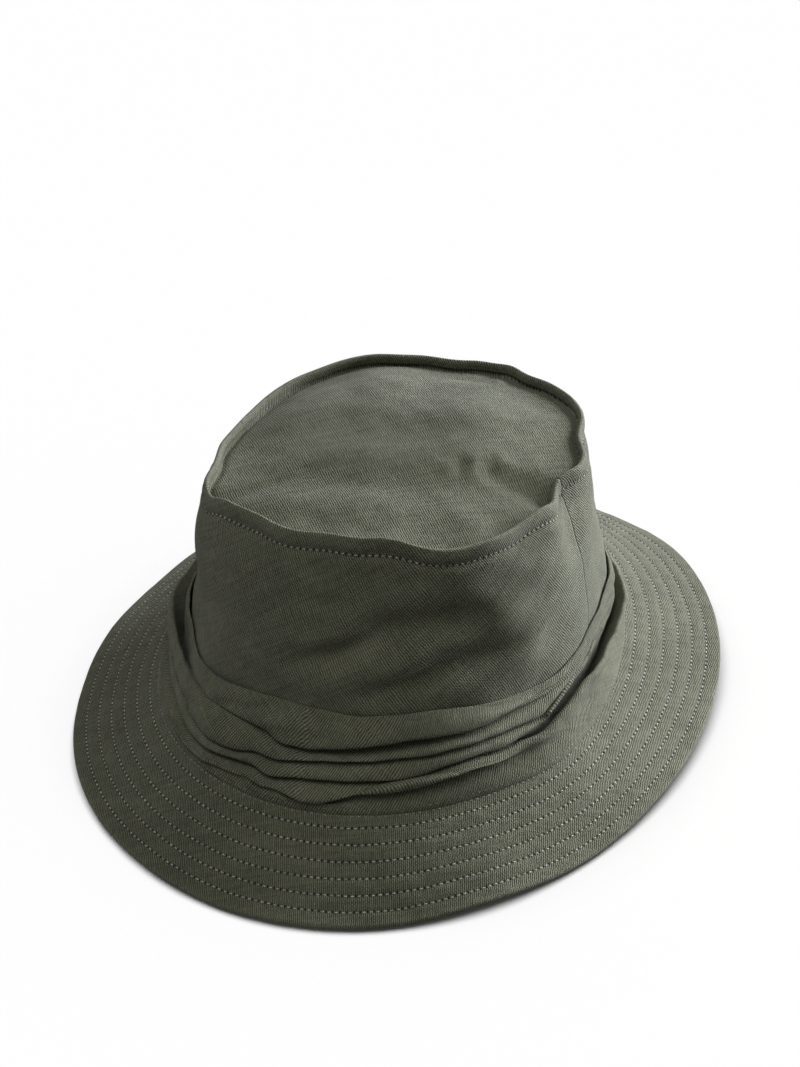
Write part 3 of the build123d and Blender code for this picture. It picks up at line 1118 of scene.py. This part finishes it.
@dataclass
class FoldedBand:
    """The draped band: one strip of twill that slouches into soft folds round the crown's foot."""

    brim: Brim
    crown: Crown
    rounds: int = 480
    rows: int = 96
    sway: Ripple = Ripple(41, 40.0, 0.5, (1.0, 1.0, 0.6))
    crumple: Ripple = Ripple(42, 11.0, 0.16, (1.0, 1.0, 1.6))
    row_share: float = 0.062
    dents: tuple[Dent, ...] = (
        Dent(-103, 49.5, 4.5, 2.6, 1.1, 2.2),
        Dent(-95, 48.0, 3.6, 2.2, -0.9, 2.2),
        Dent(-112, 46.0, 4.0, 2.4, 0.8, 1.6),
        Dent(-84, 46.5, 5.0, 1.8, 0.7, 3.0),
        Dent(-92, 29.0, 3.4, 2.6, 0.9, 2.0),
        Dent(-85, 28.0, 3.0, 2.4, -0.9, 2.0),
        Dent(-104, 31.0, 4.0, 2.4, 0.8, 1.8),
        Dent(-126, 37.0, 4.0, 3.0, 0.9, 1.2),
        Dent(-38, 48.5, 5.0, 2.2, 0.9, -2.4),
        Dent(-27, 45.0, 4.0, 2.4, 0.8, -2.0),
        Dent(-34, 31.0, 6.0, 2.6, 0.8, -2.0),
    )
    stitching: Stitching = Stitching(pitch=2.3, length=1.2, width=0.34, height=0.3, sink=0.04, seed=43)

    def folds(self, turn: Array) -> tuple[Array, Array]:
        """The profile of the folds.

        Args:
            turn: Angles in degrees.

        Returns:
            Heights, and how far each place stands outside the straight line from the seam to the crown, with
            one column for each place up the profile.
        """
        seam, top = self.brim.seam_at(turn), self.crown.crease_at(turn)
        left = np.minimum(swells(turn, (1.0, -152, 27), (0.55, 160, 26)), 1.0)
        right = np.minimum(swells(turn, (1.0, -4, 24), (0.5, 34, 18)), 1.0)
        back = swell(turn, 95, 45)
        lip, wide, pit = swell(turn, -80, 36), swell(turn, -66, 19), swell(turn, -150, 14)
        tuck = swell(turn, -60, 22) * ease(turn, -100, -90) + swells(turn, (0.4, -87, 8), (0.7, 70, 20))
        lower = swells(turn, (3.6, -62, 10), (1.9, -44, 12), (-3.2, -83, 7))
        first = top - 8.0 + 3.4 * right - 1.5 * left + swells(
            turn, (2.6, -25, 22), (-0.8, -109, 17), (-4.8, -86, 13), (-2.6, -68, 10), (-2.2, -50, 12),
            (-0.8, -90, 5), (-0.7, -106, 6), (-0.8, -56, 12), (2.7, -64, 19), (1.0, -132, 8), (-1.4, -95, 4),
        )
        second = first - 4.6 + 1.6 * right + 0.8 * back + swells(
            turn, (-1.6, -42, 18), (1.0, -118, 14), (0.6, -79, 6), (-1.2, -60, 7), (-6.9, -113, 15),
            (1.2, -88, 7), (0.6, -59, 10), (-1.2, -27, 4), (1.7, -44, 9),
        )
        third = second - 4.6 + 2.2 * right + 0.6 * back + swells(
            turn, (-1.2, -95, 25), (0.7, -92, 10), (2.4, -50, 10), (1.6, -24, 9), (1.6, -12, 6),
            (2.3, -109, 9), (-2.3, -56, 18),
        )
        span = third - seam
        fade = 1 - 0.85 * right
        calm = 1 - 0.6 * left
        upper = fade * (1 - 0.85 * swell(turn, -28, 12))
        places = [
            (seam - 1.0, 0.2),
            (seam + 0.5, 1.1),
            (seam + 0.30 * span, 1.3 - 0.2 * tuck),
            (seam + 0.50 * span + lower, 1.0 - 3.6 * tuck),
            (seam + 0.68 * span + 0.8 * lower, 1.9 + 1.3 * tuck),
            (third - 1.8 + 0.6 * right - 0.7 * lip, 2.2 + 3.0 * right - 0.4 * lip),
            (third - 0.9 + 1.2 * right - 0.4 * lip, 1.2 + 2.6 * right - 1.3 * lip),
            (third - 0.5 - 8.0 * right, -2.2 - 1.6 * right - 0.6 * lip),
            (third + 0.7, 0.3 - 1.0 * right + 1.4 * lip),
            (0.5 * (second + third) + 0.3, 1.1 * fade - 0.6 * right + 0.9 * lip),
            (second - 0.9 - 0.3 * lip, 0.7 * fade - 0.6 * right - 0.5 * lip),
            (second - 0.2, -1.9 * fade * calm - 0.5 * right - 0.5 * lip),
            (second + 0.7, 0.3 * fade + 1.5 * left + 1.4 * lip),
            (0.5 * (first + second) + 0.1 + 6.0 * left - 0.8 * wide, 1.3 * fade + 4.6 * left + 0.8 * lip),
            (first - 1.1 + 7.9 * left - 1.9 * wide, 0.7 * upper + 5.3 * left - 0.4 * lip + 0.6 * wide),
            (first - 0.5 + 5.6 * left - 2.2 * wide, -0.5 * upper + 4.3 * left - 1.0 * lip - 0.8 * wide),
            (
                first - 0.2 + 0.5 * left - 6.5 * pit - 1.0 * wide,
                -2.4 * upper - 1.8 * left - 0.6 * lip - 1.2 * wide,
            ),
            (first + 0.9, 0.9 * upper + 0.2 * right + 1.5 * lip - 2.6 * left),
            (0.5 * (first + top) - 0.4, 2.3 * fade + 0.7 * right + 0.9 * lip - 2.4 * left),
            (top - 1.6, 2.0 - 0.6 * right - 1.2 * left),
            (top - 0.2, 0.9),
            (top - 1.2, 0.25),
            (top - 4.0, 0.2),
        ]
        heights = np.stack([place[0] + 0 * turn for place in places], axis=-1)
        outs = np.stack([place[1] + 0 * turn for place in places], axis=-1)
        return heights, outs

    def surface(self, turn: Array, share: Array) -> Array:
        """The band's right side, from the seam at share 0, over every fold, to behind the top crease at 1."""
        heights, outs = self.folds(turn)
        last = heights.shape[-1] - 1
        at = np.clip(share, 0, 1) * last
        index = np.clip(np.floor(at).astype(int), 0, last - 1)
        part = at - index

        def smooth(values: Array) -> Array:
            def pick(step: int) -> Array:
                chosen = np.clip(index + step, 0, last)
                return np.take_along_axis(values, chosen[..., None], axis=-1)[..., 0]

            before, here, there, after = pick(-1), pick(0), pick(1), pick(2)
            slope, next_slope = (there - before) / 2, (after - here) / 2
            square, cube = part**2, part**3
            return (
                (2 * cube - 3 * square + 1) * here + (cube - 2 * square + part) * slope
                + (3 * square - 2 * cube) * there + (cube - square) * next_slope
            )

        height, out = smooth(heights), smooth(outs)
        seam, top = self.brim.seam_at(turn), self.crown.crease_at(turn)
        crown_share = (self.crown.skirt + 0.0 * turn) / (self.crown.rim_at(turn) - top + self.crown.skirt)
        inner = self.crown.wall(turn, crown_share)
        outer = on_ovals(self.brim.seam, self.brim.seam, 0 * turn, turn, self.brim.seam_push(turn), seam)
        rise = np.clip((height - seam) / (top - seam), -0.1, 1.0)[..., None]
        spine = outer * (1 - rise) + inner * rise
        away = np.stack([np.cos(np.radians(turn)), np.sin(np.radians(turn)), 0 * turn], axis=-1)
        middle = ease(share, 0.04, 0.15) * ease(share, 1.0, 0.85)
        pressed = sum(dent.at(turn, height) for dent in self.dents)
        out = out + middle * (self.sway.at(spine) + self.crumple.at(spine) - pressed)
        points = spine + away * out[..., None]
        points[..., 2] = height
        return points

    def wear(self, turn: Array, share: Array) -> Array:
        """The crests of the folds are rubbed a little paler."""
        heights, outs = self.folds(turn)
        last = heights.shape[-1] - 1
        crest = np.zeros_like(turn)
        for index in (5, 9, 13, 18):
            crest = np.maximum(crest, np.exp(-(((share * last - index) / 0.9) ** 2)))
        return 0.3 * crest

    def build(self, finishes: dict[str, bpy.types.Material]) -> None:
        """Makes the band and its edge stitching."""
        band = Sheet(
            "folded_band", self.surface, self.rows, self.rounds, Facing.OUT, Cut.ROLLED, 0.55,
            wear=self.wear,
        ).make()
        dress(band, finishes["band_twill"], "twill", None, "draped_band")
        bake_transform(band)
        side = (self.surface, FULL_TURN, np.full_like(FULL_TURN, self.row_share), 1.0)
        row = sew_on("band_seam_row", [side], self.stitching)
        dress(row, finishes["seam_thread"], "thread", BRIM_BODY, "band_edge_stitch")


@dataclass
class Sweatband:
    """The sweatband, sewn in at the seam and leaning up into the crown."""

    brim: Brim
    foot: Oval = field(default_factory=lambda: Oval.of("sweatband"))
    height: float = field(default_factory=lambda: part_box("sweatband")[1].z / MM)
    sway: Ripple = Ripple(51, 60.0, 0.5)
    row_share: float = 0.09
    stitching: Stitching = Stitching(seed=52)

    def surface(self, turn: Array, share: Array) -> Array:
        """The face that looks into the crown's wall, from the seam at share 0 to the free edge at 1."""
        low = self.brim.seam_at(turn) - 1.5
        height = low + share * (self.height - low)
        top = self.foot.grown(-12.0)
        out = self.brim.seam_push(turn) * (1 - share) - 2.0 * ease(share, 0.0, 0.2)
        points = on_ovals(self.foot, top, share, turn, out, height)
        return on_ovals(self.foot, top, share, turn, out + self.sway.at(points) * share, height)

    def needle(self, turn: Array, share: Array, net: Array) -> tuple[Array, Array]:
        """The needle-row map: one row along the foot."""
        count = row_phase(self.surface, self.row_share, turn[0], self.stitching)
        return np.broadcast_to(count, turn.shape), (share - self.row_share) * 22.0

    def build(self, finishes: dict[str, bpy.types.Material]) -> None:
        """Makes the sweatband and the row that holds it."""
        tape = Sheet(
            "sweatband_tape", self.surface, 24, 300, Facing.IN, Cut.ROLLED, 1.0, needle_rows=self.needle,
            wear=lambda turn, share: 0.3 * ease(share, 0.85, 1.0),
        ).make()
        dress(tape, finishes["sweatband_weave"], "sweatband_cloth", BRIM_BODY, "sweatband")
        side = (self.surface, FULL_TURN, np.full_like(FULL_TURN, self.row_share), -1.0)
        row = sew_on("sweatband_row", [side], self.stitching)
        dress(row, finishes["seam_thread"], "thread", BRIM_BODY, "sweatband_stitch")


# ---- The studio --------------------------------------------------------------------------
@dataclass(frozen=True)
class Softbox:
    """A soft light.

    Attributes:
        name: The light's name.
        place: Where it stands, in metres.
        size: Across its disc, in metres, or in radians for one that is far off.
        power: In watts, or in watts a square metre for one that is far off.
        tint: Its colour.
        far: Whether it is so far off that its light falls evenly.
        floor_only: Whether it lights only the floor; a light that isn't lights only the hat.
    """

    name: str
    place: tuple[float, float, float]
    size: float
    power: float
    tint: tuple[float, float, float] = (1.0, 1.0, 1.0)
    far: bool = False
    floor_only: bool = False

    def make(self, target: Vector, floor: bpy.types.Object) -> None:
        """Adds the light, turned to the target."""
        lamp = bpy.data.lights.new(self.name, "SUN" if self.far else "AREA")
        lamp.energy = self.power
        lamp.color = self.tint
        if self.far:
            lamp.angle = self.size
        else:
            lamp.shape = "DISK"
            lamp.size = self.size
        stand = bpy.data.objects.new(self.name, lamp)
        bpy.context.scene.collection.objects.link(stand)
        stand.location = self.place
        stand.rotation_euler = (target - stand.location).to_track_quat("-Z", "Y").to_euler()
        lit = bpy.data.collections.new(f"{self.name}_floor")
        lit.objects.link(floor)
        stand.light_linking.receiver_collection = lit
        lit.collection_objects[0].light_linking.link_state = "INCLUDE" if self.floor_only else "EXCLUDE"


@dataclass(frozen=True)
class Studio:
    """A pale floor, soft light and the camera."""

    azimuth: float = 21.57
    elevation: float = 33.88
    distance: float = 1.206
    aim: tuple[float, float, float] = (0.0005, 0.0, 0.0525)
    raised: float = 0.0144
    lens: float = 112.1
    lights: tuple[Softbox, ...] = (
        Softbox("key_light", (0.82, 1.22, 0.300), 1.1, 74.0, tint=(0.97, 1.0, 1.09)),
        Softbox("fill_light", (-0.5, -1.3, 3.6), 0.7, 0.88, far=True),
        Softbox("floor_light", (0.0, 0.0, 3.0), 1.2, 3.0, far=True, floor_only=True),
    )
    sky: float = 0.155

    def make(self) -> None:
        """Builds the floor, the lights and the camera."""
        floor = self._floor()
        world = bpy.data.worlds.new("studio_air")
        world.use_nodes = True
        world.node_tree.nodes["Background"].inputs["Color"].default_value = (1.0, 1.0, 1.0, 1)
        world.node_tree.nodes["Background"].inputs["Strength"].default_value = self.sky
        bpy.context.scene.world = world
        bpy.context.scene.view_settings.view_transform = "Standard"
        for light in self.lights:
            light.make(Vector(self.aim), floor)
        self._camera()

    @staticmethod
    def _floor() -> bpy.types.Object:
        """Lays the pale floor, which throws no light back on the hat."""
        shape = bmesh.new()
        bmesh.ops.create_grid(shape, x_segments=8, y_segments=8, size=40.0)
        mesh = bpy.data.meshes.new("floor")
        shape.to_mesh(mesh)
        shape.free()
        floor = bpy.data.objects.new("floor", mesh)
        bpy.context.scene.collection.objects.link(floor)
        floor.visible_diffuse = False
        paper = bpy.data.materials.new("floor_paper")
        paper.use_nodes = True
        skin = paper.node_tree.nodes["Principled BSDF"]
        skin.inputs["Base Color"].default_value = (0.90, 0.90, 0.90, 1)
        skin.inputs["Roughness"].default_value = 0.9
        skin.inputs["Specular IOR Level"].default_value = 0.1
        mesh.materials.append(paper)
        return floor

    def _camera(self) -> None:
        """Stands the camera in front of the hat, a little to its left, looking down."""
        turn, rise = math.radians(self.azimuth), math.radians(self.elevation)
        back = Vector((math.sin(turn) * math.cos(rise), -math.cos(turn) * math.cos(rise), math.sin(rise)))
        right = Vector((math.cos(turn), math.sin(turn), 0))
        up = back.cross(right)
        lens = bpy.data.cameras.new("camera")
        lens.lens = self.lens
        lens.sensor_width = 36.0
        camera = bpy.data.objects.new("camera", lens)
        bpy.context.scene.collection.objects.link(camera)
        camera.location = Vector((0, 0, self.aim[2])) + back * self.distance
        aim = Vector((0, 0, self.aim[2])) + up * self.raised + right * self.aim[0]
        camera.rotation_euler = (aim - camera.location).to_track_quat("-Z", "Y").to_euler()
        bpy.context.scene.camera = camera


def main() -> None:
    """Builds the hat and the studio round it."""
    logging.basicConfig(level=logging.INFO, format="%(message)s")
    finishes = make_finishes()
    brim, crown = Brim(), Crown()
    brim.build(finishes)
    crown.build(finishes)
    FoldedBand(brim, crown).build(finishes)
    Sweatband(brim).build(finishes)
    Studio().make()


if __name__ == "__main__":
    main()
